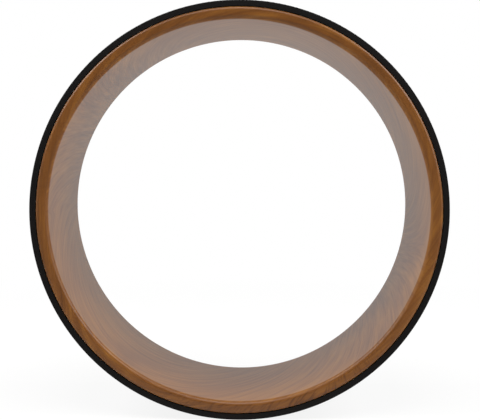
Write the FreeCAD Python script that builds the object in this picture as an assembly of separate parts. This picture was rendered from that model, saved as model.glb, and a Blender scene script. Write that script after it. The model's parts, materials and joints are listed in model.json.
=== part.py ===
"""Yoga wheel: a hollow moulded rim in two halves, screwed together under a bonded foam mat.

The wheel turns about Y and its front edge faces -Y, with +Z up and the origin at its centre.
Angles run counter-clockwise from +X towards +Z, as seen from the front.
Every piece is written as one STEP file in the folder parts. Lengths are millimetres.
"""

import FreeCAD
import Part

import math
import os

# Rim: the wood-printed ring that the hands and feet hold
WHEEL_WIDTH = 130.0
BORE_RADIUS = 150.0
RIM_THICKNESS = 9.6
OUTER_EDGE_RADIUS = 2.4
EDGE_LAND = 3.6

# Moulded walls inside the rim
SKIN = 2.8
END_WALL = 4.0
CAVITY_CORNER_RADIUS = 0.8
RIB_THICKNESS = 2.2
RIB_ROOT = 0.6
RIBS_PER_TAB = 6

# Tabs that cross the joint between the two halves
TAB_COUNT = 6
TAB_WIDTH = 8.0
TAB_REACH = 14.0
TAB_LEAD_IN = 1.0
TAB_CLEARANCE = 0.15
FIRST_TAB_ANGLE = 15.0

# Countersunk self-tapping screws, one through each tab
SCREW_HEAD_RADIUS = 2.75
SCREW_HEAD_HEIGHT = 1.55
SCREW_HEAD_LAND = 0.15
SCREW_CORE_RADIUS = 1.2
SCREW_HOLE_RADIUS = 1.6
SCREW_HEAD_SINK = 0.2
SCREW_TIP_LENGTH = 1.0
SCREW_TIP_CLEARANCE = 0.8
DRIVE_SLOT_WIDTH = 0.6
DRIVE_SLOT_LENGTH = 3.0
DRIVE_SLOT_DEPTH = 0.8

# Foam mat and the two runs of tape that bond it to the rim
TAPE_THICKNESS = 0.2
BOND_CLEARANCE = 0.1
TAPE_MIDDLE_GAP = 6.0
TAPE_EDGE_INSET = 2.0
MAT_THICKNESS = 5.0
MAT_RECESS = 1.0
MAT_EDGE_RADIUS = 0.8
MAT_SEAM_ANGLE = 125.0
MAT_SEAM_GAP = 0.3

# Sizes worked out from the ones above
HALF_WIDTH = WHEEL_WIDTH / 2
RIM_RADIUS = BORE_RADIUS + RIM_THICKNESS
INNER_EDGE_RADIUS = RIM_THICKNESS - OUTER_EDGE_RADIUS - EDGE_LAND
CAVITY_INNER_RADIUS = BORE_RADIUS + SKIN
CAVITY_OUTER_RADIUS = RIM_RADIUS - SKIN
CAVITY_DEPTH = HALF_WIDTH - END_WALL
TAPE_INNER_RADIUS = RIM_RADIUS + BOND_CLEARANCE
TAPE_OUTER_RADIUS = TAPE_INNER_RADIUS + TAPE_THICKNESS
MAT_INNER_RADIUS = TAPE_OUTER_RADIUS + BOND_CLEARANCE
MAT_RADIUS = MAT_INNER_RADIUS + MAT_THICKNESS
MAT_HALF_WIDTH = HALF_WIDTH - MAT_RECESS
TAB_PITCH = 360.0 / TAB_COUNT
RIB_PITCH = TAB_PITCH / RIBS_PER_TAB
SOCKET_STATION = RIBS_PER_TAB // 2
FIRST_SOCKET_ANGLE = FIRST_TAB_ANGLE + SOCKET_STATION * RIB_PITCH
SCREW_SETBACK = TAB_REACH / 2
SCREW_HEAD_TOP_RADIUS = RIM_RADIUS - SCREW_HEAD_SINK
SCREW_LENGTH = SCREW_HEAD_TOP_RADIUS - CAVITY_INNER_RADIUS - SCREW_TIP_CLEARANCE

ORIGIN = FreeCAD.Vector(0, 0, 0)
WHEEL_AXIS = FreeCAD.Vector(0, -1, 0)
ALONG_Y = FreeCAD.Vector(0, 1, 0)
ALONG_Z = FreeCAD.Vector(0, 0, 1)
QUARTER_TURN = 90.0
HALF_TURN = 180.0
FULL_TURN = 360.0


def turned(shape, angle):
    """A copy of a shape that was made at angle 0, turned about the wheel's axis."""
    copy = shape.copy()
    copy.rotate(ORIGIN, WHEEL_AXIS, angle)
    return copy


def flipped(shape):
    """A copy turned over to the rear, so that its tabs meet the sockets of the front half."""
    angle = math.radians((FIRST_TAB_ANGLE + FIRST_SOCKET_ANGLE) / 2)
    flip_axis = FreeCAD.Vector(math.cos(angle), 0, math.sin(angle))
    copy = shape.copy()
    copy.rotate(ORIGIN, flip_axis, HALF_TURN)
    return copy


def tab_angles():
    """Where the front half's tabs stand, which is also where the rear half has its sockets."""
    return [FIRST_TAB_ANGLE + step * TAB_PITCH for step in range(TAB_COUNT)]


def socket_angles():
    """Where the front half takes the rear half's tabs."""
    return [FIRST_SOCKET_ANGLE + step * TAB_PITCH for step in range(TAB_COUNT)]


def outline(corners):
    """A face between straight lines in the X-Y plane; a corner is (x, y, rounding radius)."""
    points = [FreeCAD.Vector(x, y, 0) for x, y, _ in corners]
    joints = []
    for index, (_, _, radius) in enumerate(corners):
        here = points[index]
        back = (points[index - 1] - here).normalize()
        ahead = (points[(index + 1) % len(points)] - here).normalize()
        half_angle = back.getAngle(ahead) / 2
        setback = radius / math.tan(half_angle)
        bisector = (back + ahead).normalize()
        middle = here + bisector * (radius / math.sin(half_angle) - radius)
        joints.append((here + back * setback, middle, here + ahead * setback, radius))
    edges = []
    for index, (start, middle, end, radius) in enumerate(joints):
        if radius > 0:
            edges.append(Part.Arc(start, middle, end).toShape())
        next_start = joints[(index + 1) % len(joints)][0]
        edges.append(Part.LineSegment(end, next_start).toShape())
    return Part.Face(Part.Wire(edges))


def lathe(corners, start=0.0, sweep=FULL_TURN):
    """A ring turned about the wheel's axis from corners of (radius, place along Y, rounding)."""
    return turned(outline(corners), start).revolve(ORIGIN, WHEEL_AXIS, sweep)


def radial_block(width, inner_radius, outer_radius, low_y, high_y):
    """A straight-sided block at angle 0, of one thickness, between two radii."""
    corner = FreeCAD.Vector(inner_radius, low_y, -width / 2)
    return Part.makeBox(outer_radius - inner_radius, high_y - low_y, width, corner)


def rim_shell():
    """The front half's rounded edge with its inner and outer walls, open at the joint."""
    return lathe([
        (BORE_RADIUS, 0, 0),
        (BORE_RADIUS, -HALF_WIDTH, INNER_EDGE_RADIUS),
        (RIM_RADIUS, -HALF_WIDTH, OUTER_EDGE_RADIUS),
        (RIM_RADIUS, 0, 0),
        (CAVITY_OUTER_RADIUS, 0, 0),
        (CAVITY_OUTER_RADIUS, -CAVITY_DEPTH, CAVITY_CORNER_RADIUS),
        (CAVITY_INNER_RADIUS, -CAVITY_DEPTH, CAVITY_CORNER_RADIUS),
        (CAVITY_INNER_RADIUS, 0, 0),
    ])


def rib_block(width):
    """A rib of the cavity's full depth, rooted in both walls and the end wall."""
    return radial_block(
        width,
        CAVITY_INNER_RADIUS - RIB_ROOT,
        CAVITY_OUTER_RADIUS + RIB_ROOT,
        -CAVITY_DEPTH - RIB_ROOT,
        0,
    )


def socket_ribs():
    """Two ribs that guide the other half's tab between them."""
    offset = (TAB_WIDTH + RIB_THICKNESS) / 2 + TAB_CLEARANCE
    pair = []
    for side in (-1, 1):
        rib = rib_block(RIB_THICKNESS)
        rib.translate(FreeCAD.Vector(0, 0, side * offset))
        pair.append(rib)
    return pair


def tab_tongue():
    """The part of a tab that reaches past the joint, clear of the other half's walls."""
    inner = CAVITY_INNER_RADIUS + TAB_CLEARANCE
    outer = CAVITY_OUTER_RADIUS - TAB_CLEARANCE
    ring = lathe([
        (inner, -TAB_REACH, 0),
        (outer, -TAB_REACH, 0),
        (outer, TAB_REACH - TAB_LEAD_IN, 0),
        (outer - TAB_LEAD_IN, TAB_REACH, 0),
        (inner + TAB_LEAD_IN, TAB_REACH, 0),
        (inner, TAB_REACH - TAB_LEAD_IN, 0),
    ])
    return ring.common(radial_block(TAB_WIDTH, BORE_RADIUS, RIM_RADIUS, -TAB_REACH, TAB_REACH))


def screw_profile(core_radius, neck_radius, neck_depth, head_cover):
    """Half outline of a screw or its hole: radius along X, height along Y from the head's top at 0."""
    head_land = -SCREW_HEAD_LAND
    corners = [
        (0, head_cover, 0),
        (SCREW_HEAD_RADIUS, head_cover, 0),
        (SCREW_HEAD_RADIUS, head_land, 0),
        (neck_radius, -SCREW_HEAD_HEIGHT * neck_share(neck_radius), 0),
    ]
    if neck_radius > core_radius:
        corners.append((neck_radius, -neck_depth, 0))
        corners.append((core_radius, -neck_depth, 0))
    corners.append((core_radius, SCREW_TIP_LENGTH - SCREW_LENGTH, 0))
    corners.append((0, -SCREW_LENGTH, 0))
    return corners


def neck_share(neck_radius):
    """How far down the head's cone it narrows to the neck's radius, from 0 at the top to 1."""
    cone = (SCREW_HEAD_RADIUS - neck_radius) / (SCREW_HEAD_RADIUS - SCREW_CORE_RADIUS)
    land = SCREW_HEAD_LAND / SCREW_HEAD_HEIGHT
    return land + (1 - land) * cone


def seated(corners, angle, along):
    """A turned shape with its axis radial, its head at the rim's outside, at a place on the rim."""
    shape = outline(corners).revolve(ORIGIN, ALONG_Y, FULL_TURN)
    shape.rotate(ORIGIN, ALONG_Z, -QUARTER_TURN)
    shape.translate(FreeCAD.Vector(SCREW_HEAD_TOP_RADIUS, along, 0))
    return turned(shape, angle)


def screw(angle, along):
    """One countersunk screw with a cross recess in its head."""
    body = seated(screw_profile(SCREW_CORE_RADIUS, SCREW_CORE_RADIUS, 0, 0), 0, along)
    for across, tall in ((DRIVE_SLOT_LENGTH, DRIVE_SLOT_WIDTH), (DRIVE_SLOT_WIDTH, DRIVE_SLOT_LENGTH)):
        corner = FreeCAD.Vector(SCREW_HEAD_TOP_RADIUS - DRIVE_SLOT_DEPTH, along - across / 2, -tall / 2)
        body = body.cut(Part.makeBox(2 * DRIVE_SLOT_DEPTH, across, tall, corner))
    return turned(body, angle)


def screw_hole(angle, along):
    """The hole for one screw: countersunk and clear in the outer wall, a close fit in the tab."""
    skin_depth = SKIN + TAB_CLEARANCE - SCREW_HEAD_SINK
    corners = screw_profile(SCREW_CORE_RADIUS, SCREW_HOLE_RADIUS, skin_depth, SCREW_HEAD_SINK + SKIN)
    return seated(corners, angle, along)


def half_ring():
    """The front half of the rim: shell, ribs, tabs and screw holes, as one moulding."""
    pieces = []
    for station in range(TAB_COUNT * RIBS_PER_TAB):
        angle = FIRST_TAB_ANGLE + station * RIB_PITCH
        kind = station % RIBS_PER_TAB
        if kind == 0:
            pieces += [turned(rib_block(TAB_WIDTH), angle), turned(tab_tongue(), angle)]
        elif kind == SOCKET_STATION:
            pieces += [turned(rib, angle) for rib in socket_ribs()]
        else:
            pieces.append(turned(rib_block(RIB_THICKNESS), angle))
    moulding = rim_shell().multiFuse(pieces)
    holes = [screw_hole(angle, SCREW_SETBACK) for angle in tab_angles()]
    holes += [screw_hole(angle, -SCREW_SETBACK) for angle in socket_angles()]
    return moulding.cut(holes).removeSplitter()


def joint_screws(angles, along):
    """The screws whose heads lie in one half, as separate solids."""
    return Part.makeCompound([screw(angle, along) for angle in angles])


def seam_strip(corners):
    """A strip bent round the rim whose two ends meet at the mat's seam."""
    gap_angle = math.degrees(MAT_SEAM_GAP / MAT_RADIUS)
    return lathe(corners, MAT_SEAM_ANGLE + gap_angle / 2, FULL_TURN - gap_angle)


def mat_tape(side):
    """One run of double-sided tape, on the front (-1) or rear (1) half of the rim."""
    near = side * TAPE_MIDDLE_GAP / 2
    far = side * (MAT_HALF_WIDTH - TAPE_EDGE_INSET)
    return seam_strip([
        (TAPE_INNER_RADIUS, near, 0),
        (TAPE_OUTER_RADIUS, near, 0),
        (TAPE_OUTER_RADIUS, far, 0),
        (TAPE_INNER_RADIUS, far, 0),
    ])


def tread_mat():
    """The foam strip round the outside, with its outer edges eased."""
    return seam_strip([
        (MAT_INNER_RADIUS, -MAT_HALF_WIDTH, 0),
        (MAT_RADIUS, -MAT_HALF_WIDTH, MAT_EDGE_RADIUS),
        (MAT_RADIUS, MAT_HALF_WIDTH, MAT_EDGE_RADIUS),
        (MAT_INNER_RADIUS, MAT_HALF_WIDTH, 0),
    ])


def build():
    """Every piece of the wheel by its node name."""
    front_half = half_ring()
    return {
        "front_half_ring": front_half,
        "rear_half_ring": flipped(front_half),
        "front_joint_screws": joint_screws(socket_angles(), -SCREW_SETBACK),
        "rear_joint_screws": joint_screws(tab_angles(), SCREW_SETBACK),
        "front_mat_tape": mat_tape(-1),
        "rear_mat_tape": mat_tape(1),
        "tread_mat": tread_mat(),
    }


def main():
    """Write every piece and print what it holds."""
    os.makedirs("parts", exist_ok=True)
    for name, shape in build().items():
        shape.exportStep(os.path.join("parts", name + ".step"))
        print(name, "solids", len(shape.Solids), "valid", shape.isValid(), "volume", round(shape.Volume, 1))


main()
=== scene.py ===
"""Yoga wheel: a wood-printed rim in two moulded halves under a bonded foam tread mat.

The wheel turns about Y and its front edge faces -Y, with +Z up and the origin at its centre.
Angles run counter-clockwise from +X towards +Z, as seen from the front. Lengths are metres.
"""

import json
import math

import bpy
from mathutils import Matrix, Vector


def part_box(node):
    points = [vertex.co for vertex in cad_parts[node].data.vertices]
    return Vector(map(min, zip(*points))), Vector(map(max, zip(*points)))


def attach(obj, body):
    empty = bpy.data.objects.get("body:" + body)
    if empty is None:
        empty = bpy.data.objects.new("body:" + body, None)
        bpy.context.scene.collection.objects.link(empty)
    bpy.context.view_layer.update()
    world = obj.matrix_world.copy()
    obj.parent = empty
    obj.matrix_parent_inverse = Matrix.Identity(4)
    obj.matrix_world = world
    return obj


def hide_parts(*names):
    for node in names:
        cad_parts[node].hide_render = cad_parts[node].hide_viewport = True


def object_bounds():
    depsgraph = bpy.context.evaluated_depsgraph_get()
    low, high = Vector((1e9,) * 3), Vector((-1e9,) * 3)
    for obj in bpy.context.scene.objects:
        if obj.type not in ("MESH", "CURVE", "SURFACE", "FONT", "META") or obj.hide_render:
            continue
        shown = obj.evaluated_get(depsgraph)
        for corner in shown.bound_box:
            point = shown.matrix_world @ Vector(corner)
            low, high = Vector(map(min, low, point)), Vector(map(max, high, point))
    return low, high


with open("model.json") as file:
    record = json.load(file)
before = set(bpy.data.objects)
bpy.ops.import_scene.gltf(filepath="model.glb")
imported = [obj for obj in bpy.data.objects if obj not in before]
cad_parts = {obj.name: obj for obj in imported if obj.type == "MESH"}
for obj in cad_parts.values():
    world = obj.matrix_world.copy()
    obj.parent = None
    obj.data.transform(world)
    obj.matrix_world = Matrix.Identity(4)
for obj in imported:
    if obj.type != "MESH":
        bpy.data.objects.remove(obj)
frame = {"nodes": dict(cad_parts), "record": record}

bl_info = {
    "name": "Yoga Wheel",
    "version": (1, 0, 0),
    "blender": (4, 5, 0),
    "location": "View3D > Sidebar > Yoga Wheel",
    "description": "Builds a wood-printed yoga wheel with an embossed foam tread mat",
    "category": "Add Mesh",
}

CAD_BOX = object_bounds()
MM = 0.001
# The two halves of the rim, and which way along Y each one lies
HALVES = {"front": -1, "rear": 1}

# Sizes read from the packed frame
BORE = next(mount for mount in frame["record"]["mounts"] if mount["name"] == "inner_bore")
BORE_RADIUS = BORE["dims"]["r_mm"] * MM
RIM_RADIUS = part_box("front_half_ring")[1].x
HALF_WIDTH = -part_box("front_half_ring")[0].y
INNER_EDGE_RADIUS = HALF_WIDTH - BORE["dims"]["length_mm"] * MM / 2
MAT_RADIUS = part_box("tread_mat")[1].x
MAT_HALF_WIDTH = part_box("tread_mat")[1].y


def linear(code):
    """An sRGB hex colour as linear red, green, blue and full alpha."""
    shares = [int(code[start:start + 2], 16) / 255 for start in (1, 3, 5)]
    return tuple(c / 12.92 if c <= 0.04045 else ((c + 0.055) / 1.055) ** 2.4 for c in shares) + (1.0,)


def length(name, description, default):
    """A length property in metres."""
    return bpy.props.FloatProperty(
        name=name, description=description, default=default, min=0.0, precision=5, unit="LENGTH"
    )


def turn_angle(name, description, degrees):
    """An angle property."""
    return bpy.props.FloatProperty(
        name=name, description=description, default=math.radians(degrees), subtype="ANGLE"
    )


def whole_number(name, description, default):
    """A property that counts things."""
    return bpy.props.IntProperty(name=name, description=description, default=default, min=1)


def colour(name, description, code):
    """A colour property from an sRGB hex value."""
    return bpy.props.FloatVectorProperty(
        name=name, description=description, default=linear(code), size=4, min=0.0, max=1.0, subtype="COLOR"
    )


def power(name, description, default):
    """A lamp's power in watts."""
    return bpy.props.FloatProperty(
        name=name, description=description, default=default, min=0.0, unit="POWER"
    )


def light_level(name, description, default):
    """How bright the studio is round the wheel, where 1 shows as white."""
    return bpy.props.FloatProperty(name=name, description=description, default=default, min=0.0)


class RimSizes(bpy.types.PropertyGroup):
    """Sizes of the two moulded rim halves"""

    bore_radius: length("Bore radius", "Radius of the round inner wall", BORE_RADIUS)
    thickness: length("Thickness", "From the inner wall to the mat's tape", RIM_RADIUS - BORE_RADIUS)
    half_width: length("Half width", "From the joint at mid width to one edge", HALF_WIDTH)
    inner_edge_radius: length("Inner edge radius", "From edge land to inner wall", INNER_EDGE_RADIUS)
    outer_edge_radius: length("Outer edge radius", "From edge land to outside", 2.4 * MM)
    skin: length("Skin", "Thickness of the inner and outer walls", 2.8 * MM)
    end_wall: length("End wall", "Thickness behind the edge land", 4.0 * MM)
    cavity_corner_radius: length("Cavity corner radius", "Rounding in the hollow's corners", 0.8 * MM)
    rib_thickness: length("Rib thickness", "Thickness of the ribs in the hollow", 2.2 * MM)
    rib_root: length("Rib root", "How far a rib is rooted in the walls", 0.6 * MM)
    rib_setback: length("Rib setback", "From the joint to the end of a rib", 0.1 * MM)
    ribs_per_tab: whole_number("Ribs per tab", "Stations from tab to tab", 6)
    tab_count: whole_number("Tabs", "Tabs round each half", 6)
    tab_width: length("Tab width", "Width of a tab round the ring", 8.0 * MM)
    tab_reach: length("Tab reach", "How far a tab crosses the joint", 14.0 * MM)
    tab_clearance: length("Tab clearance", "Between a tab and its socket", 0.15 * MM)
    first_tab_angle: turn_angle("First tab angle", "Where the front half has a tab", 15.0)
    screw_core_radius: length("Screw core radius", "Hole for a screw in a tab", 1.2 * MM)
    screw_hole_radius: length("Screw hole radius", "Clear hole in the outer wall", 1.6 * MM)
    countersink_radius: length("Countersink radius", "Mouth of the clear hole", 3.2 * MM)
    countersink_depth: length("Countersink depth", "Depth of the hole's cone", 1.45 * MM)
    segments: whole_number("Segments", "Flats round the ring", 384)
    edge_steps: whole_number("Edge steps", "Flats in each rounding", 24)


class MatSizes(bpy.types.PropertyGroup):
    """Sizes of the foam tread mat and of its embossed pips"""

    radius: length("Radius", "Outer radius over the pips", MAT_RADIUS)
    thickness: length("Thickness", "From the bonded face to the top of the pips", 5.0 * MM)
    half_width: length("Half width", "From mid width to one side face", MAT_HALF_WIDTH)
    edge_radius: length("Edge radius", "Rounding of the outer edges", 0.8 * MM)
    seam_angle: turn_angle("Seam angle", "Where the two ends meet", 125.0)
    seam_gap: length("Seam gap", "Left open between the two soft ends", 0.03 * MM)
    pip_height: length("Pip height", "How far the pips stand up", 0.25 * MM)
    pip_diameter: length("Pip diameter", "Across the foot of a pip", 2.4 * MM)
    pip_pitch: length("Pip pitch", "Between neighbouring pips", 4.6 * MM)
    segments: whole_number("Segments", "Flats round the mat", 384)
    edge_steps: whole_number("Edge steps", "Flats in each rounding", 6)


class Finishes(bpy.types.PropertyGroup):
    """Colours of the wheel's materials"""

    print_dark: colour("Print dark", "Dark streaks of the wood-grain print", "#54300f")
    print_middle: colour("Print middle", "Main tone of the wood-grain print", "#6d4116")
    print_light: colour("Print light", "Pale streaks of the wood-grain print", "#8b5b20")
    foam: colour("Foam", "Black foam of the tread mat", "#080504")
    tape: colour("Tape", "Double-sided bonding tape", "#dcd6c6")
    zinc: colour("Zinc", "Bright zinc plate on the screws", "#b9bcc0")
    floor: colour("Floor", "Pale studio floor", "#ececea")


class StageLevels(bpy.types.PropertyGroup):
    """Light levels of the studio"""

    overhead: power("Overhead", "Soft box over the wheel", 18.0)
    upper_left: power("Upper left", "Soft box at the upper left", 28.5)
    upper_right: power("Upper right", "Soft box at the upper right", 24.0)
    left: power("Left", "Soft box at the left", 2.5)
    right: power("Right", "Soft box at the right", 10.0)
    room: light_level("Room", "Dim room in front", 0.05)
    backdrop: light_level("Backdrop", "Light from the backdrop", 0.1)


def add_node(tree, kind, inputs=None, **settings):
    """Add a node with its settings, and give its inputs values or links, by name or by place."""
    made = tree.nodes.new(kind)
    for name, value in settings.items():
        setattr(made, name, value)
    shown = [socket for socket in made.inputs if socket.enabled]
    for key, value in (inputs or {}).items():
        socket = shown[key] if isinstance(key, int) else next(s for s in shown if s.name == key)
        for source in value if isinstance(value, list) else [value]:
            if isinstance(source, bpy.types.Node):
                source = next(s for s in source.outputs if s.enabled)
            if isinstance(source, bpy.types.NodeSocket):
                tree.links.new(source, socket)
            else:
                socket.default_value = source
    return made


INPUT_KINDS = {
    float: "NodeSocketFloat",
    int: "NodeSocketInt",
    bool: "NodeSocketBool",
    tuple: "NodeSocketVector",
    bpy.types.Material: "NodeSocketMaterial",
}


def size_tree(name, sizes):
    """A new geometry tree with one named input for each size, and those inputs by name."""
    tree = bpy.data.node_groups.new(name, "GeometryNodeTree")
    for size_name, value in sizes.items():
        tree.interface.new_socket(size_name, in_out="INPUT", socket_type=INPUT_KINDS[type(value)])
    tree.interface.new_socket("Geometry", in_out="OUTPUT", socket_type="NodeSocketGeometry")
    return tree, add_node(tree, "NodeGroupInput").outputs


# Edges that turn by more than this stay sharp
SHARP_ANGLE = math.radians(40.0)


def close_tree(tree, geometry, material):
    """Realise, shade smooth between sharp edges, set the material and lead to the tree's output."""
    real = add_node(tree, "GeometryNodeRealizeInstances", {"Geometry": geometry})
    smooth = add_node(
        tree, "GeometryNodeSetShadeSmooth", {"Geometry": real, "Shade Smooth": True}, domain="FACE"
    )
    angle = add_node(tree, "GeometryNodeInputMeshEdgeAngle")
    is_sharp = add_node(
        tree, "FunctionNodeCompare", {"A": angle, "B": SHARP_ANGLE}, operation="GREATER_THAN"
    )
    creased = add_node(
        tree, "GeometryNodeSetShadeSmooth",
        {"Geometry": smooth, "Selection": is_sharp, "Shade Smooth": False}, domain="EDGE",
    )
    painted = add_node(tree, "GeometryNodeSetMaterial", {"Geometry": creased, "Material": material})
    add_node(tree, "NodeGroupOutput", {"Geometry": painted})


def modelled(name, tree, sizes):
    """The tree's result with these sizes, as a plain mesh object at the origin."""
    piece = bpy.data.objects.new(name, bpy.data.meshes.new(name))
    bpy.context.scene.collection.objects.link(piece)
    modifier = piece.modifiers.new(name, "NODES")
    modifier.node_group = tree
    for item in tree.interface.items_tree:
        if item.in_out == "INPUT":
            modifier[item.identifier] = sizes[item.name]
    graph = bpy.context.evaluated_depsgraph_get()
    mesh = bpy.data.meshes.new_from_object(piece.evaluated_get(graph))
    piece.modifiers.clear()
    piece.data = mesh
    mesh.name = name
    if not mesh.polygons:
        raise RuntimeError(f"{name} came out empty")
    return piece


def outline(tree, corners, steps):
    """A closed outline of straight lines; a corner is (height, place along Y, rounding radius)."""
    index = add_node(tree, "GeometryNodeInputIndex")
    places = add_node(tree, "GeometryNodeIndexSwitch", {"Index": index}, data_type="VECTOR")
    radii = add_node(tree, "GeometryNodeIndexSwitch", {"Index": index}, data_type="FLOAT")
    for switch in (places, radii):
        for _ in range(len(corners) - len(switch.index_switch_items)):
            switch.index_switch_items.new()
    for number, (height, along, radius) in enumerate(corners):
        corner = add_node(tree, "ShaderNodeCombineXYZ", {"X": height, "Y": along})
        tree.links.new(corner.outputs[0], places.inputs[str(number)])
        if radius is not None:
            tree.links.new(radius, radii.inputs[str(number)])
    points = add_node(tree, "GeometryNodePoints", {"Count": len(corners), "Position": places})
    line = add_node(tree, "GeometryNodePointsToCurves", {"Points": points})
    closed = add_node(tree, "GeometryNodeSetSplineCyclic", {"Geometry": line, "Cyclic": True})
    return add_node(
        tree, "GeometryNodeFilletCurve",
        {"Curve": closed, "Count": steps, "Radius": radii, "Limit Radius": True}, mode="POLY",
    )


def swept(tree, path, section):
    """A section swept along a path in the X-Y plane, then stood up so that the wheel's axis is Y."""
    mesh = add_node(
        tree, "GeometryNodeCurveToMesh", {"Curve": path, "Profile Curve": section, "Fill Caps": True}
    )
    return add_node(tree, "GeometryNodeTransform", {"Geometry": mesh, "Rotation": (math.pi / 2, 0.0, 0.0)})


HOLE_SIDES = 24
# The cutters run past the faces that they open, and a countersink ends in a small step round the hole
HOLE_OVERRUN = 0.5 * MM
HOLE_STEP = 0.1 * MM


def moulded_inside(tree, size):
    """Ribs, tabs and sockets of one half at even stations, and the cutters of its screw holes."""
    index = add_node(tree, "GeometryNodeInputIndex")
    kind = add_node(tree, "FunctionNodeIntegerMath", {0: index, 1: size["Ribs Per Tab"]}, operation="MODULO")
    is_tab = add_node(tree, "FunctionNodeCompare", {"A": kind, "B": 0}, data_type="INT", operation="EQUAL")
    is_socket = add_node(
        tree, "FunctionNodeCompare", {"A": kind, "B": size["Socket Station"]},
        data_type="INT", operation="EQUAL",
    )
    is_rib = add_node(tree, "FunctionNodeBooleanMath", {0: is_tab, 1: is_socket}, operation="NOR")
    angle = add_node(
        tree, "ShaderNodeMath", {0: index, 1: size["Rib Angle"], 2: size["First Tab Angle"]},
        operation="MULTIPLY_ADD",
    )
    turn = add_node(tree, "FunctionNodeAxisAngleToRotation", {"Axis": (0.0, -1.0, 0.0), "Angle": angle})
    stations = add_node(tree, "GeometryNodePoints", {"Count": size["Ribs"]})
    mouldings = []
    for chosen, lengths, centre in (
        (is_rib, "Rib Lengths", "Rib Centre"),
        (is_socket, "Rib Lengths", "Upper Guide Centre"),
        (is_socket, "Rib Lengths", "Lower Guide Centre"),
        (is_tab, "Tab Root Lengths", "Rib Centre"),
        (is_tab, "Tab Lengths", "Tab Centre"),
    ):
        cube = add_node(tree, "GeometryNodeMeshCube", {"Size": size[lengths]})
        seated = add_node(tree, "GeometryNodeTransform", {"Geometry": cube, "Translation": size[centre]})
        mouldings.append(add_node(
            tree, "GeometryNodeInstanceOnPoints",
            {"Points": stations, "Selection": chosen, "Instance": seated, "Rotation": turn},
        ))
    cutters = []
    for chosen, foot_radius, top_radius, depth, foot in (
        (is_tab, "Screw Core Radius", "Screw Core Radius", "Tab Hole Depth", "Tab Hole Foot"),
        (is_socket, "Screw Hole Radius", "Screw Hole Radius", "Clear Hole Depth", "Clear Hole Foot"),
        (is_socket, "Countersink Foot Radius", "Countersink Top Radius", "Countersink Depth",
         "Countersink Foot"),
    ):
        cone = add_node(
            tree, "GeometryNodeMeshCone",
            {"Vertices": HOLE_SIDES, "Radius Top": size[top_radius], "Radius Bottom": size[foot_radius],
             "Depth": size[depth]},
            fill_type="NGON",
        )
        seated = add_node(
            tree, "GeometryNodeTransform",
            {"Geometry": cone, "Translation": size[foot], "Rotation": (0.0, math.pi / 2, 0.0)},
        )
        cutters.append(add_node(
            tree, "GeometryNodeInstanceOnPoints",
            {"Points": stations, "Selection": chosen, "Instance": seated, "Rotation": turn},
        ))
    return mouldings, cutters


def rim_half_tree(sizes):
    """A hollow half ring, turned from its section and open at the joint, with ribs, tabs and screw holes."""
    tree, size = size_tree("rim_half", sizes)
    joint = 0.0
    section = outline(tree, [
        (0.0, joint, None),
        (0.0, size["Edge"], size["Inner Edge Radius"]),
        (size["Thickness"], size["Edge"], size["Outer Edge Radius"]),
        (size["Thickness"], joint, None),
        (size["Outer Skin"], joint, None),
        (size["Outer Skin"], size["Cavity End"], size["Cavity Corner Radius"]),
        (size["Skin"], size["Cavity End"], size["Cavity Corner Radius"]),
        (size["Skin"], joint, None),
    ], size["Edge Steps"])
    path = add_node(
        tree, "GeometryNodeCurvePrimitiveCircle",
        {"Resolution": size["Segments"], "Radius": size["Bore Radius"]},
    )
    ring = swept(tree, path, section)
    outward = add_node(tree, "GeometryNodeFlipFaces", {"Mesh": ring, "Selection": size["Turned Over"]})
    mouldings, cutters = moulded_inside(tree, size)
    moulded = add_node(
        tree, "GeometryNodeMeshBoolean", {"Mesh": [outward, *mouldings]}, operation="UNION", solver="MANIFOLD"
    )
    bored = add_node(
        tree, "GeometryNodeMeshBoolean", {"Mesh 1": moulded, "Mesh 2": cutters},
        operation="DIFFERENCE", solver="MANIFOLD",
    )
    close_tree(tree, bored, size["Material"])
    return tree


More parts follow.
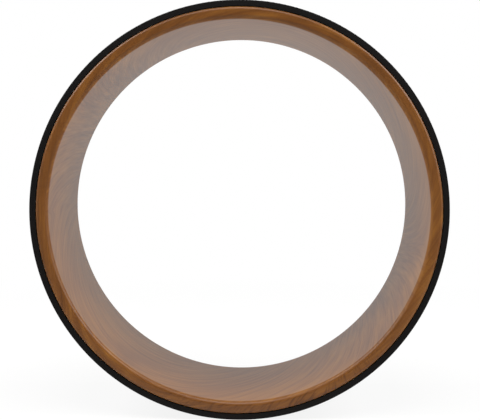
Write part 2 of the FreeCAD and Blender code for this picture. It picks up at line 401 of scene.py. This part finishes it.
def rim_half_sizes(rim, side, material):
    """The inputs of the half ring's tree, for the front (-1) or the rear (1)."""
    ribs = rim.tab_count * rim.ribs_per_tab
    socket_station = rim.ribs_per_tab // 2
    rib_angle = 2 * math.pi / ribs
    middle_radius = rim.bore_radius + rim.thickness / 2
    rim_radius = rim.bore_radius + rim.thickness
    hollow = rim.thickness - 2 * rim.skin
    rib_height = hollow + 2 * rim.rib_root
    rib_end = rim.half_width - rim.end_wall + rim.rib_root
    rib_length = rib_end - rim.rib_setback
    rib_middle = side * (rib_end + rim.rib_setback) / 2
    guide = (rim.tab_width + rim.rib_thickness) / 2 + rim.tab_clearance
    # A screw stands half a tab's reach from the joint, in the wall of one half and the tab of the other
    hole_setback = side * rim.tab_reach / 2
    flare = (rim.countersink_radius - rim.screw_hole_radius - HOLE_STEP) / rim.countersink_depth
    return {
        "Ribs": ribs,
        "Ribs Per Tab": rim.ribs_per_tab,
        "Socket Station": socket_station,
        "Rib Angle": rib_angle,
        "First Tab Angle": rim.first_tab_angle + (socket_station * rib_angle if side > 0 else 0.0),
        "Rib Lengths": (rib_height, rib_length, rim.rib_thickness),
        "Rib Centre": (middle_radius, rib_middle, 0.0),
        "Upper Guide Centre": (middle_radius, rib_middle, guide),
        "Lower Guide Centre": (middle_radius, rib_middle, -guide),
        "Tab Root Lengths": (rib_height, rib_length, rim.tab_width),
        "Tab Lengths": (hollow - 2 * rim.tab_clearance, 2 * rim.tab_reach, rim.tab_width),
        "Tab Centre": (middle_radius, 0.0, 0.0),
        "Screw Core Radius": rim.screw_core_radius,
        "Tab Hole Depth": hollow,
        "Tab Hole Foot": (middle_radius - hollow / 4, -hole_setback, 0.0),
        "Screw Hole Radius": rim.screw_hole_radius,
        "Clear Hole Depth": rim.skin + HOLE_OVERRUN,
        "Clear Hole Foot": (rim_radius - rim.skin - HOLE_OVERRUN, hole_setback, 0.0),
        "Countersink Top Radius": rim.countersink_radius + flare * HOLE_OVERRUN,
        "Countersink Foot Radius": rim.screw_hole_radius + HOLE_STEP,
        "Countersink Depth": rim.countersink_depth + HOLE_OVERRUN,
        "Countersink Foot": (rim_radius - rim.countersink_depth, hole_setback, 0.0),
        "Bore Radius": rim.bore_radius,
        "Thickness": rim.thickness,
        "Skin": rim.skin,
        "Outer Skin": rim.thickness - rim.skin,
        "Edge": side * rim.half_width,
        "Cavity End": side * (rim.half_width - rim.end_wall),
        "Inner Edge Radius": rim.inner_edge_radius,
        "Outer Edge Radius": rim.outer_edge_radius,
        "Cavity Corner Radius": rim.cavity_corner_radius,
        "Segments": rim.segments,
        "Edge Steps": rim.edge_steps,
        "Turned Over": side > 0,
        "Material": material,
    }


# How far a pip's foot is let into the mat, and its sides: few, because there are thousands of pips
PIP_SINK = 0.1 * MM
PIP_SIDES = 7


def tread_mat_tree(sizes):
    """A strip bent round the rim with a butt seam, embossed with rows of staggered pips."""
    tree, size = size_tree("tread_mat", sizes)
    section = outline(tree, [
        (0.0, size["Front Side"], None),
        (size["Ground Height"], size["Front Side"], size["Edge Radius"]),
        (size["Ground Height"], size["Rear Side"], size["Edge Radius"]),
        (0.0, size["Rear Side"], None),
    ], size["Edge Steps"])
    path = add_node(
        tree, "GeometryNodeCurveArc",
        {"Resolution": size["Segments"], "Radius": size["Inner Radius"],
         "Start Angle": size["Start Angle"], "Sweep Angle": size["Sweep"]},
        mode="RADIUS",
    )
    strip = swept(tree, path, section)
    index = add_node(tree, "GeometryNodeInputIndex")
    column = add_node(
        tree, "FunctionNodeIntegerMath", {0: index, 1: size["Pips Around"]}, operation="MODULO"
    )
    row = add_node(
        tree, "FunctionNodeIntegerMath", {0: index, 1: size["Pips Around"]}, operation="DIVIDE_FLOOR"
    )
    odd = add_node(tree, "FunctionNodeIntegerMath", {0: row, 1: 2}, operation="MODULO")
    place = add_node(tree, "ShaderNodeMath", {0: odd, 1: 0.5, 2: column}, operation="MULTIPLY_ADD")
    angle = add_node(
        tree, "ShaderNodeMath", {0: place, 1: size["Pip Angle"], 2: size["First Pip Angle"]},
        operation="MULTIPLY_ADD",
    )
    along = add_node(
        tree, "ShaderNodeMath", {0: row, 1: size["Row Pitch"], 2: size["First Row"]},
        operation="MULTIPLY_ADD",
    )
    count = add_node(
        tree, "FunctionNodeIntegerMath", {0: size["Pips Around"], 1: size["Pip Rows"]},
        operation="MULTIPLY",
    )
    flat = add_node(tree, "ShaderNodeCombineXYZ", {"X": size["Pip Foot"], "Y": along})
    turn = add_node(tree, "FunctionNodeAxisAngleToRotation", {"Axis": (0.0, -1.0, 0.0), "Angle": angle})
    spot = add_node(tree, "FunctionNodeRotateVector", {"Vector": flat, "Rotation": turn})
    points = add_node(tree, "GeometryNodePoints", {"Count": count, "Position": spot})
    cone = add_node(
        tree, "GeometryNodeMeshCone",
        {"Vertices": PIP_SIDES, "Radius Top": size["Pip Top Radius"],
         "Radius Bottom": size["Pip Radius"], "Depth": size["Pip Depth"]},
        fill_type="NGON",
    )
    pip = add_node(tree, "GeometryNodeTransform", {"Geometry": cone, "Rotation": (0.0, math.pi / 2, 0.0)})
    pips = add_node(
        tree, "GeometryNodeInstanceOnPoints", {"Points": points, "Instance": pip, "Rotation": turn}
    )
    embossed = add_node(tree, "GeometryNodeJoinGeometry", {"Geometry": [strip, pips]})
    close_tree(tree, embossed, size["Material"])
    return tree


def tread_mat_sizes(mat, material):
    """The inputs of the mat's tree: pips spread evenly between the two ends and the two sides."""
    sweep = 2 * math.pi - mat.seam_gap / mat.radius
    start = mat.seam_angle + (2 * math.pi - sweep) / 2
    around = int(sweep * mat.radius / mat.pip_pitch)
    # Every other row is staggered by half a pitch, so that neighbours stand in triangles of equal sides
    row_pitch = mat.pip_pitch * math.sin(math.pi / 3)
    flat_half = mat.half_width - mat.edge_radius - mat.pip_diameter / 2
    rows = 1 + int(2 * flat_half / row_pitch)
    return {
        "Inner Radius": mat.radius - mat.thickness,
        "Ground Height": mat.thickness - mat.pip_height,
        "Front Side": -mat.half_width,
        "Rear Side": mat.half_width,
        "Edge Radius": mat.edge_radius,
        "Edge Steps": mat.edge_steps,
        "Segments": mat.segments,
        "Start Angle": start,
        "Sweep": sweep,
        "Pips Around": around,
        "Pip Rows": rows,
        "Pip Angle": sweep / around,
        "First Pip Angle": start + sweep / around / 4,
        "Row Pitch": row_pitch,
        "First Row": -row_pitch * (rows - 1) / 2,
        "Pip Radius": mat.pip_diameter / 2,
        "Pip Top Radius": mat.pip_diameter / 4,
        "Pip Foot": mat.radius - mat.pip_height - PIP_SINK,
        "Pip Depth": mat.pip_height + PIP_SINK,
        "Material": material,
    }


def new_material(name):
    """An empty node material and its tree."""
    material = bpy.data.materials.new(name)
    material.use_nodes = True
    material.node_tree.nodes.clear()
    return material, material.node_tree


# The print's lengths are millimetres, and its angles degrees round the rim
# On the inner wall: how far a streak runs round the rim for each length across it
GRAIN_SLANT = {
    -145.0: -0.75, -110.0: 0.9, -60.0: 0.35, -15.0: 0.0, 40.0: -0.9, 85.0: 0.7, 115.0: 0.3, 140.0: 0.1
}
# On the edge face the streaks run round the rim in long waves: their heights as shares of the bore's radius
EDGE_WAVE = {-165.0: -0.13, -130.0: 0.02, -55.0: -0.18, 50.0: 0.25, 165.0: -0.13}
# The same two values on the left of the wheel, where the angle turns over from 180 to -180
SEAM_SLANT = -0.35
SEAM_WAVE = -0.15
# How far a broad noise pushes the streaks aside, and how broad it is
GRAIN_WANDER = 8.0
WANDER_WIDTH = 110.0
# Printed fibres are about 0.3 mm wide and pores 0.2 mm: both are drawn coarser here so that they show
FIBRE_WIDTH = 1.4
FIBRE_LENGTH = 30.0
STREAK_WIDTH = 5.0
STREAK_LENGTH = 70.0
TONE_WIDTH = 60.0
PORE_WIDTH = 0.9
PORE_LENGTH = 7.0
# Where the streaks close into arches, and the distance from a crest at which its sides slant by one in one
ARCH_ANGLES = (232.0, 78.0)
ARCH_REACH = 65.0
# Cosines of the angle from a crest between which its arch comes in
ARCH_FADE = {"From Min": 0.77, "From Max": 0.97}
# Distances past the corner between which the streaks of the edge face come in
EDGE_FADE = {"From Min": 0.5, "From Max": 2.5}
# Tone on the inner wall and past the corner before the patterns add to it, and each pattern's share.
# The darker start past the corner is painted shade on the edge face, and the paler wall is painted light
FIGURE_START_WITH_PAINTED_SHADE = {"From Max": 2.0, "To Min": -0.55, "To Max": -0.7}
FIGURE_SHARES = {"fibres": 0.8, "streaks": 1.0, "tone": 0.6}
# Pores darken the edge face most at one angle, and less by the cosine of the angle from there
PORE_ANGLE = 281.0
PORE_DEPTH = {"From Min": 0.8, "To Min": 0.1, "To Max": 0.6}
# Distances past the corner between which the pores come in, and the heights of their noise that darken
PORE_FADE = {"From Min": 1.0, "From Max": 3.0}
PORE_LIMITS = {"From Min": 0.52, "From Max": 0.66}
LACQUER_IOR = 1.4
LACQUER_ROUGHNESS = {"To Min": 0.42, "To Max": 0.36}
LACQUER_RELIEF = {"Strength": 0.1, "Distance": 0.01 * MM}


def print_places(tree, bore):
    """Where a point of the rim lies on the print, in millimetres.

    Gives its place, its angle, the spot at the same angle on the bore, its way across the print and how
    far it is past the corner between inner wall and edge face.
    """
    place = add_node(tree, "ShaderNodeTexCoord").outputs["Object"]
    place = add_node(tree, "ShaderNodeVectorMath", {"Vector": place, "Scale": 1 / MM}, operation="SCALE")
    axes = add_node(tree, "ShaderNodeSeparateXYZ", {"Vector": place}).outputs
    spoke = add_node(tree, "ShaderNodeCombineXYZ", {"X": axes["X"], "Z": axes["Z"]})
    radius = add_node(tree, "ShaderNodeVectorMath", {"Vector": spoke}, operation="LENGTH")
    angle = add_node(tree, "ShaderNodeMath", {0: axes["Z"], 1: axes["X"]}, operation="ARCTAN2")
    around = add_node(tree, "ShaderNodeVectorMath", {"Vector": spoke}, operation="NORMALIZE")
    around = add_node(tree, "ShaderNodeVectorMath", {"Vector": around, "Scale": bore}, operation="SCALE")
    # The print runs on over the corner from the inner wall to the edge face
    past_corner = add_node(tree, "ShaderNodeMath", {0: radius, 1: bore}, operation="SUBTRACT")
    past_corner = add_node(tree, "ShaderNodeMath", {0: past_corner, 1: 0.0}, operation="MAXIMUM")
    side = add_node(tree, "ShaderNodeMath", {0: axes["Y"]}, operation="SIGN")
    across = add_node(
        tree, "ShaderNodeMath", {0: past_corner, 1: side, 2: axes["Y"]}, operation="MULTIPLY_ADD"
    )
    return place, angle, around, across, past_corner


def print_sheets(tree, bore, place, angle, around, across, past_corner):
    """The film that the slanting streaks lie on, and the sheets of arches and waves with their shares."""
    turned = add_node(
        tree, "ShaderNodeMapRange", {"Value": angle, "From Min": -math.pi, "From Max": math.pi}
    )
    # The slant and the wave change smoothly round the rim
    courses = []
    for seam, knots in ((SEAM_SLANT, GRAIN_SLANT), (SEAM_WAVE, EDGE_WAVE)):
        course = add_node(tree, "ShaderNodeFloatCurve", {"Value": turned})
        course.mapping.use_clip = False
        points = course.mapping.curves[0].points
        points[0].location = (0.0, seam)
        points[1].location = (1.0, seam)
        for degrees, value in knots.items():
            points.new(degrees / 360 + 0.5, value)
        course.mapping.update()
        courses.append(course)
    slant, wave = courses
    wander = add_node(tree, "ShaderNodeTexNoise", {"Vector": place, "Scale": 1 / WANDER_WIDTH, "Detail": 0.0})
    wander = add_node(
        tree, "ShaderNodeMapRange",
        {"Value": wander.outputs["Fac"], "To Min": -GRAIN_WANDER, "To Max": GRAIN_WANDER},
    )
    turn = add_node(tree, "ShaderNodeMath", {0: slant, 1: across, 2: wander}, operation="MULTIPLY_ADD")
    turn = add_node(tree, "ShaderNodeMath", {0: turn, 1: 1 / bore}, operation="MULTIPLY")
    slanted = add_node(
        tree, "ShaderNodeVectorRotate", {"Vector": around, "Axis": (0.0, 1.0, 0.0), "Angle": turn},
        rotation_type="AXIS_ANGLE",
    )
    film = add_node(tree, "ShaderNodeCombineXYZ", {"Y": across})
    film = add_node(tree, "ShaderNodeVectorMath", {0: slanted, 1: film}, operation="ADD")
    # Near a crest, and on the edge face, the streaks run round the rim instead
    crests = []
    for degrees in ARCH_ANGLES:
        away = add_node(tree, "ShaderNodeMath", {0: angle, 1: math.radians(degrees)}, operation="SUBTRACT")
        crests.append(add_node(tree, "ShaderNodeMath", {0: away}, operation="COSINE"))
    crest = add_node(tree, "ShaderNodeMath", {0: crests[0], 1: crests[1]}, operation="MAXIMUM")
    in_arch = add_node(tree, "ShaderNodeMapRange", {"Value": crest, **ARCH_FADE})
    dip = add_node(tree, "ShaderNodeMath", {0: crest, 1: 1.0}, operation="SUBTRACT")
    on_edge = add_node(tree, "ShaderNodeMapRange", {"Value": past_corner, **EDGE_FADE})
    round_rim = []
    for bend, reach, share in ((dip, bore * bore / ARCH_REACH, in_arch), (wave, bore, on_edge)):
        level = add_node(tree, "ShaderNodeMath", {0: bend, 1: reach, 2: across}, operation="MULTIPLY_ADD")
        level = add_node(tree, "ShaderNodeMath", {0: level, 1: wander}, operation="ADD")
        level = add_node(tree, "ShaderNodeCombineXYZ", {"Y": level})
        sheet = add_node(tree, "ShaderNodeVectorMath", {0: around, 1: level}, operation="ADD")
        round_rim.append((sheet, share))
    return film, round_rim


def print_patterns(tree, film, round_rim):
    """Noise stretched along the streaks, from fine fibres to broad changes of tone, by name."""
    patterns = {}
    for name, width, run_length, detail, bent_sheets in (
        ("fibres", FIBRE_WIDTH, FIBRE_LENGTH, 3.0, round_rim),
        ("streaks", STREAK_WIDTH, STREAK_LENGTH, 2.0, round_rim),
        ("tone", TONE_WIDTH, TONE_WIDTH, 2.0, ()),
        ("pores", PORE_WIDTH, PORE_LENGTH, 1.0, ()),
    ):
        sheets = [(film, 1.0, (1 / width, 1 / run_length, 1 / width))]
        for sheet, share in bent_sheets:
            sheets.append((sheet, share, (1 / run_length, 1 / width, 1 / run_length)))
        pattern = 0.0
        for sheet, share, scales in sheets:
            spot = add_node(tree, "ShaderNodeVectorMath", {0: sheet, 1: scales}, operation="MULTIPLY")
            noise = add_node(tree, "ShaderNodeTexNoise", {"Vector": spot, "Scale": 1.0, "Detail": detail})
            pattern = add_node(
                tree, "ShaderNodeMix", {"Factor": share, "A": pattern, "B": noise.outputs["Fac"]},
                data_type="FLOAT",
            )
        patterns[name] = pattern
    return patterns


def walnut_print_material(rim, finish):
    """Walnut-grain transfer print on moulded ABS under satin lacquer.

    Fine brown streaks slant across the inner wall, close into two arches and wave along the edge face.
    The lacquer has a soft gloss that shows at a slant.
    """
    material, tree = new_material("walnut_print_on_abs_satin_lacquer")
    bore = rim.bore_radius / MM
    place, angle, around, across, past_corner = print_places(tree, bore)
    film, round_rim = print_sheets(tree, bore, place, angle, around, across, past_corner)
    patterns = print_patterns(tree, film, round_rim)
    # The tone runs from 0, dark, to 1, pale
    # Past the corner the tone steps darker: painted shade on the edge face, painted light on the inner wall
    figure_with_painted_shade = add_node(tree, "ShaderNodeMapRange", {"Value": past_corner, **FIGURE_START_WITH_PAINTED_SHADE})
    for name, share in FIGURE_SHARES.items():
        figure_with_painted_shade = add_node(
            tree, "ShaderNodeMath", {0: patterns[name], 1: share, 2: figure_with_painted_shade}, operation="MULTIPLY_ADD"
        )
    near = add_node(tree, "ShaderNodeMath", {0: angle, 1: math.radians(PORE_ANGLE)}, operation="SUBTRACT")
    near = add_node(tree, "ShaderNodeMath", {0: near}, operation="COSINE")
    depth = add_node(tree, "ShaderNodeMapRange", {"Value": near, **PORE_DEPTH})
    depth = add_node(tree, "ShaderNodeMapRange", {"Value": past_corner, **PORE_FADE, "To Max": depth})
    dark = add_node(tree, "ShaderNodeMapRange", {"Value": patterns["pores"], **PORE_LIMITS, "To Max": depth})
    figure_with_painted_shade = add_node(tree, "ShaderNodeMath", {0: figure_with_painted_shade, 1: dark}, operation="SUBTRACT")
    ramp = add_node(tree, "ShaderNodeValToRGB", {"Fac": figure_with_painted_shade})
    ramp.color_ramp.elements[0].color = finish.print_dark
    ramp.color_ramp.elements[1].color = finish.print_light
    ramp.color_ramp.elements.new(0.5).color = finish.print_middle
    rough = add_node(tree, "ShaderNodeMapRange", {"Value": patterns["fibres"], **LACQUER_ROUGHNESS})
    bump = add_node(tree, "ShaderNodeBump", {**LACQUER_RELIEF, "Height": patterns["fibres"]})
    shader = add_node(
        tree, "ShaderNodeBsdfPrincipled",
        {"Base Color": ramp.outputs["Color"], "Roughness": rough, "IOR": LACQUER_IOR, "Normal": bump},
    )
    add_node(tree, "ShaderNodeOutputMaterial", {"Surface": shader})
    return material


# Real cells are about 0.3 mm: they are drawn coarser here so that they show
FOAM_CELL = 0.8 * MM
FOAM_PATCH = 12.0 * MM
FOAM_LEVELS = {"From Min": 0.3, "From Max": 0.7, "To Min": 0.85, "To Max": 1.2}
FOAM_RELIEF = {"Strength": 0.4, "Distance": 0.1 * MM}
FOAM_SURFACE = {"Roughness": 0.85, "IOR": 1.3}


def foam_material(finish):
    """Closed-cell TPE foam, heat embossed: nearly black and matt, with a fine cell grain."""
    material, tree = new_material("tpe_foam_embossed")
    place = add_node(tree, "ShaderNodeTexCoord").outputs["Object"]
    cells = add_node(tree, "ShaderNodeTexVoronoi", {"Vector": place, "Scale": 1 / FOAM_CELL})
    patches = add_node(tree, "ShaderNodeTexNoise", {"Vector": place, "Scale": 1 / FOAM_PATCH, "Detail": 3.0})
    level = add_node(tree, "ShaderNodeMapRange", {"Value": patches.outputs["Fac"], **FOAM_LEVELS})
    shade = add_node(
        tree, "ShaderNodeVectorMath", {"Vector": tuple(finish.foam[:3]), "Scale": level}, operation="SCALE"
    )
    bump = add_node(tree, "ShaderNodeBump", {**FOAM_RELIEF, "Height": cells.outputs["Distance"]})
    shader = add_node(tree, "ShaderNodeBsdfPrincipled", {"Base Color": shade, "Normal": bump, **FOAM_SURFACE})
    add_node(tree, "ShaderNodeOutputMaterial", {"Surface": shader})
    return material


TAPE_WAVE = 9.0 * MM
TAPE_LEVELS = {"To Min": 0.9, "To Max": 1.05}
TAPE_RELIEF = {"Strength": 0.2, "Distance": 0.1 * MM}
TAPE_SURFACE = {"Roughness": 0.35, "IOR": 1.47}


def tape_material(finish):
    """Double-sided acrylic tape off a roll: pale, slightly milky and smooth, with faint long waves."""
    material, tree = new_material("acrylic_tape")
    place = add_node(tree, "ShaderNodeTexCoord").outputs["Object"]
    waves = add_node(tree, "ShaderNodeTexNoise", {"Vector": place, "Scale": 1 / TAPE_WAVE, "Detail": 2.0})
    level = add_node(tree, "ShaderNodeMapRange", {"Value": waves.outputs["Fac"], **TAPE_LEVELS})
    shade = add_node(
        tree, "ShaderNodeVectorMath", {"Vector": tuple(finish.tape[:3]), "Scale": level}, operation="SCALE"
    )
    bump = add_node(tree, "ShaderNodeBump", {**TAPE_RELIEF, "Height": waves.outputs["Fac"]})
    shader = add_node(tree, "ShaderNodeBsdfPrincipled", {"Base Color": shade, "Normal": bump, **TAPE_SURFACE})
    add_node(tree, "ShaderNodeOutputMaterial", {"Surface": shader})
    return material


ZINC_CLOUD = 0.8 * MM
ZINC_ROUGHNESS = {"To Min": 0.2, "To Max": 0.45}
ZINC_LEVELS = {"To Min": 0.85, "To Max": 1.1}


def zinc_material(finish):
    """Bright zinc plate on cold-headed steel: pale metal with small cloudy patches of passivation."""
    material, tree = new_material("zinc_plated_steel")
    place = add_node(tree, "ShaderNodeTexCoord").outputs["Object"]
    clouds = add_node(tree, "ShaderNodeTexNoise", {"Vector": place, "Scale": 1 / ZINC_CLOUD, "Detail": 4.0})
    rough = add_node(tree, "ShaderNodeMapRange", {"Value": clouds.outputs["Fac"], **ZINC_ROUGHNESS})
    level = add_node(tree, "ShaderNodeMapRange", {"Value": clouds.outputs["Fac"], **ZINC_LEVELS})
    shade = add_node(
        tree, "ShaderNodeVectorMath", {"Vector": tuple(finish.zinc[:3]), "Scale": level}, operation="SCALE"
    )
    shader = add_node(
        tree, "ShaderNodeBsdfPrincipled", {"Base Color": shade, "Metallic": 1.0, "Roughness": rough}
    )
    add_node(tree, "ShaderNodeOutputMaterial", {"Surface": shader})
    return material


def refinished(node, material):
    """Give a CAD node that keeps its shape a new material."""
    piece = frame["nodes"][node]
    piece.data.materials.clear()
    piece.data.materials.append(material)


class RimHalves(bpy.types.Operator):
    """Turn the front and rear halves of the rim and give them the wood-grain print"""

    bl_idname = "yoga_wheel.rim_halves"
    bl_label = "Rim Halves"

    def execute(self, context):
        rim = context.scene.yoga_rim
        material = walnut_print_material(rim, context.scene.yoga_finishes)
        tree = rim_half_tree(rim_half_sizes(rim, HALVES["front"], material))
        for place, side in HALVES.items():
            piece = modelled(f"{place}_rim", tree, rim_half_sizes(rim, side, material))
            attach(piece, "root")
            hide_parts(f"{place}_half_ring")
        return {"FINISHED"}


class TreadMat(bpy.types.Operator):
    """Bend the embossed foam mat round the rim"""

    bl_idname = "yoga_wheel.tread_mat"
    bl_label = "Tread Mat"

    def execute(self, context):
        material = foam_material(context.scene.yoga_finishes)
        sizes = tread_mat_sizes(context.scene.yoga_mat, material)
        piece = modelled("foam_tread", tread_mat_tree(sizes), sizes)
        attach(piece, "root")
        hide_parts("tread_mat")
        return {"FINISHED"}


class JointScrews(bpy.types.Operator):
    """Give the hidden joint screws their zinc plate"""

    bl_idname = "yoga_wheel.joint_screws"
    bl_label = "Joint Screws"

    def execute(self, context):
        material = zinc_material(context.scene.yoga_finishes)
        for place in HALVES:
            refinished(f"{place}_joint_screws", material)
        return {"FINISHED"}


class MatTapes(bpy.types.Operator):
    """Give the two runs of bonding tape their finish"""

    bl_idname = "yoga_wheel.mat_tapes"
    bl_label = "Mat Tapes"

    def execute(self, context):
        material = tape_material(context.scene.yoga_finishes)
        for place in HALVES:
            refinished(f"{place}_mat_tape", material)
        return {"FINISHED"}


FLOOR_RADIUS = 8.0
FLOOR_SIDES = 60
# Share of plain white in the floor near the wheel, where the rest takes the shadow; past its reach it is all
NEAR_WHITE = 0.88
SHADOW_REACH = 0.9
# In reflections the white paper ends just in front of the wheel, and the floor past it is dark
PAPER_FRONT = -0.1
PAPER_FADE = 0.15
DARK_FLOOR = 0.1
# How the world changes along Y from the dim room in front to the backdrop
HORIZON_FADE = {"From Min": -0.1, "From Max": 0.1}
BOX_SIZE = 0.9
BOX_DISTANCE = 1.8
SOFT_BOXES = {
    "overhead": (0.0, -0.5, 0.87),
    "upper_left": (-0.72, -0.15, 0.69),
    "upper_right": (0.72, -0.15, 0.69),
    "left": (-0.92, -0.35, 0.15),
    "right": (0.9, -0.35, 0.35),
}

# The photo's camera: its place, and how far it tilts up and turns left, in degrees
CAMERA_PLACE = (0.01162, -0.7984, 0.03663)
CAMERA_PITCH = -2.735
CAMERA_YAW = 0.836
# The picture's width in pixels and the lens that shows it, on a sensor of Blender's usual width
PICTURE_WIDTH = 480
FOCAL_PIXELS = 940.0
SENSOR_WIDTH_MM = 36.0


def floor_material(finish):
    """White studio paper: near white with a faint soft shadow, and in reflections it ends near the wheel."""
    material, tree = new_material("white_studio_paper")
    rays = add_node(tree, "ShaderNodeLightPath").outputs
    mirrored = add_node(
        tree, "ShaderNodeMath", {0: rays["Is Glossy Ray"], 1: rays["Is Transmission Ray"]},
        operation="MAXIMUM",
    )
    seen = add_node(tree, "ShaderNodeMath", {0: mirrored, 1: rays["Is Camera Ray"]}, operation="MAXIMUM")
    place = add_node(tree, "ShaderNodeTexCoord").outputs["Object"]
    away = add_node(tree, "ShaderNodeVectorMath", {"Vector": place}, operation="LENGTH")
    share = add_node(
        tree, "ShaderNodeMapRange",
        {"Value": away, "From Min": SHADOW_REACH / 2, "From Max": SHADOW_REACH,
         "To Min": NEAR_WHITE, "To Max": 1.0},
    )
    share = add_node(tree, "ShaderNodeMath", {0: seen, 1: share}, operation="MULTIPLY")
    along = add_node(tree, "ShaderNodeSeparateXYZ", {"Vector": place}).outputs["Y"]
    under = add_node(
        tree, "ShaderNodeMapRange",
        {"Value": along, "From Min": PAPER_FRONT - PAPER_FADE, "From Max": PAPER_FRONT,
         "To Min": DARK_FLOOR, "To Max": 1.0},
    )
    glow = add_node(tree, "ShaderNodeMath", {0: under, 1: rays["Is Camera Ray"]}, operation="MAXIMUM")
    paper = add_node(tree, "ShaderNodeBsdfDiffuse", {"Color": tuple(finish.floor)})
    white = add_node(tree, "ShaderNodeEmission", {"Strength": glow})
    mixed = add_node(tree, "ShaderNodeMixShader", {"Fac": share, 1: paper, 2: white})
    add_node(tree, "ShaderNodeOutputMaterial", {"Surface": mixed})
    return material


def studio_world(levels):
    """A backdrop behind the wheel, white where it shows, and a dim room in front; all white to the camera."""
    world = bpy.data.worlds.new("white_studio")
    world.use_nodes = True
    tree = world.node_tree
    tree.nodes.clear()
    rays = add_node(tree, "ShaderNodeLightPath").outputs
    mirrored = add_node(
        tree, "ShaderNodeMath", {0: rays["Is Glossy Ray"], 1: rays["Is Transmission Ray"]},
        operation="MAXIMUM",
    )
    white = add_node(
        tree, "ShaderNodeMapRange", {"Value": mirrored, "To Min": levels.backdrop, "To Max": 1.0}
    )
    towards = add_node(tree, "ShaderNodeTexCoord").outputs["Generated"]
    towards = add_node(tree, "ShaderNodeSeparateXYZ", {"Vector": towards})
    behind = add_node(
        tree, "ShaderNodeMapRange",
        {"Value": towards.outputs["Y"], **HORIZON_FADE, "To Min": levels.room, "To Max": white},
    )
    level = add_node(tree, "ShaderNodeMath", {0: behind, 1: rays["Is Camera Ray"]}, operation="MAXIMUM")
    light = add_node(tree, "ShaderNodeBackground", {"Color": (1.0, 1.0, 1.0, 1.0), "Strength": level})
    add_node(tree, "ShaderNodeOutputWorld", {"Surface": light})
    return world


def soft_box(name, direction, watts):
    """A square area lamp that faces the wheel from a direction."""
    lamp = bpy.data.lights.new(name, "AREA")
    lamp.shape = "SQUARE"
    lamp.size = BOX_SIZE
    lamp.energy = watts
    holder = bpy.data.objects.new(name, lamp)
    towards = Vector(direction).normalized()
    holder.location = towards * BOX_DISTANCE
    holder.rotation_euler = (-towards).to_track_quat("-Z", "Y").to_euler()
    bpy.context.scene.collection.objects.link(holder)


def studio_floor(finish):
    """A round sheet of white paper, level with the bottom of the wheel."""
    height = CAD_BOX[0].z
    angles = [math.tau * step / FLOOR_SIDES for step in range(FLOOR_SIDES)]
    corners = [(FLOOR_RADIUS * math.cos(a), FLOOR_RADIUS * math.sin(a), height) for a in angles]
    mesh = bpy.data.meshes.new("studio_floor")
    mesh.from_pydata(corners, [], [list(range(FLOOR_SIDES))])
    mesh.materials.append(floor_material(finish))
    floor = bpy.data.objects.new("studio_floor", mesh)
    bpy.context.scene.collection.objects.link(floor)


def photo_camera():
    """A camera at the photo's place, with its lens."""
    lens = bpy.data.cameras.new("photo_camera")
    lens.sensor_width = SENSOR_WIDTH_MM
    lens.lens = FOCAL_PIXELS / PICTURE_WIDTH * SENSOR_WIDTH_MM
    camera = bpy.data.objects.new("photo_camera", lens)
    camera.location = CAMERA_PLACE
    camera.rotation_euler = (math.radians(90.0 + CAMERA_PITCH), 0.0, math.radians(CAMERA_YAW))
    bpy.context.scene.collection.objects.link(camera)
    return camera


class Stage(bpy.types.Operator):
    """Set up the pale floor, the soft studio light and the camera"""

    bl_idname = "yoga_wheel.stage"
    bl_label = "Stage"

    def execute(self, context):
        scene = context.scene
        studio_floor(scene.yoga_finishes)
        scene.world = studio_world(scene.yoga_stage)
        for name, direction in SOFT_BOXES.items():
            soft_box(name, direction, getattr(scene.yoga_stage, name))
        scene.camera = photo_camera()
        scene.view_settings.view_transform = "Standard"
        return {"FINISHED"}


class WheelPanel(bpy.types.Panel):
    """Buttons and sizes of the yoga wheel in the 3D view's sidebar"""

    bl_idname = "VIEW3D_PT_yoga_wheel"
    bl_label = "Yoga Wheel"
    bl_space_type = "VIEW_3D"
    bl_region_type = "UI"
    bl_category = "Yoga Wheel"

    def draw(self, context):
        for operator in OPERATORS:
            self.layout.operator(operator.bl_idname)
        for attribute, group in GROUPS.items():
            box = self.layout.box()
            box.label(text=group.__doc__)
            for name in group.__annotations__:
                box.prop(getattr(context.scene, attribute), name)


GROUPS = {
    "yoga_rim": RimSizes,
    "yoga_mat": MatSizes,
    "yoga_finishes": Finishes,
    "yoga_stage": StageLevels,
}
OPERATORS = (RimHalves, TreadMat, JointScrews, MatTapes, Stage)
CLASSES = (*GROUPS.values(), *OPERATORS, WheelPanel)


def register():
    """Register the classes and hang the settings on the scene."""
    for kind in CLASSES:
        bpy.utils.register_class(kind)
    for attribute, group in GROUPS.items():
        setattr(bpy.types.Scene, attribute, bpy.props.PointerProperty(type=group))


def unregister():
    """Undo register, in reverse."""
    for attribute in GROUPS:
        delattr(bpy.types.Scene, attribute)
    for kind in reversed(CLASSES):
        bpy.utils.unregister_class(kind)


def main():
    register()
    bpy.ops.yoga_wheel.rim_halves()
    bpy.ops.yoga_wheel.tread_mat()
    bpy.ops.yoga_wheel.joint_screws()
    bpy.ops.yoga_wheel.mat_tapes()
    bpy.ops.yoga_wheel.stage()


if __name__ == "__main__":
    main()
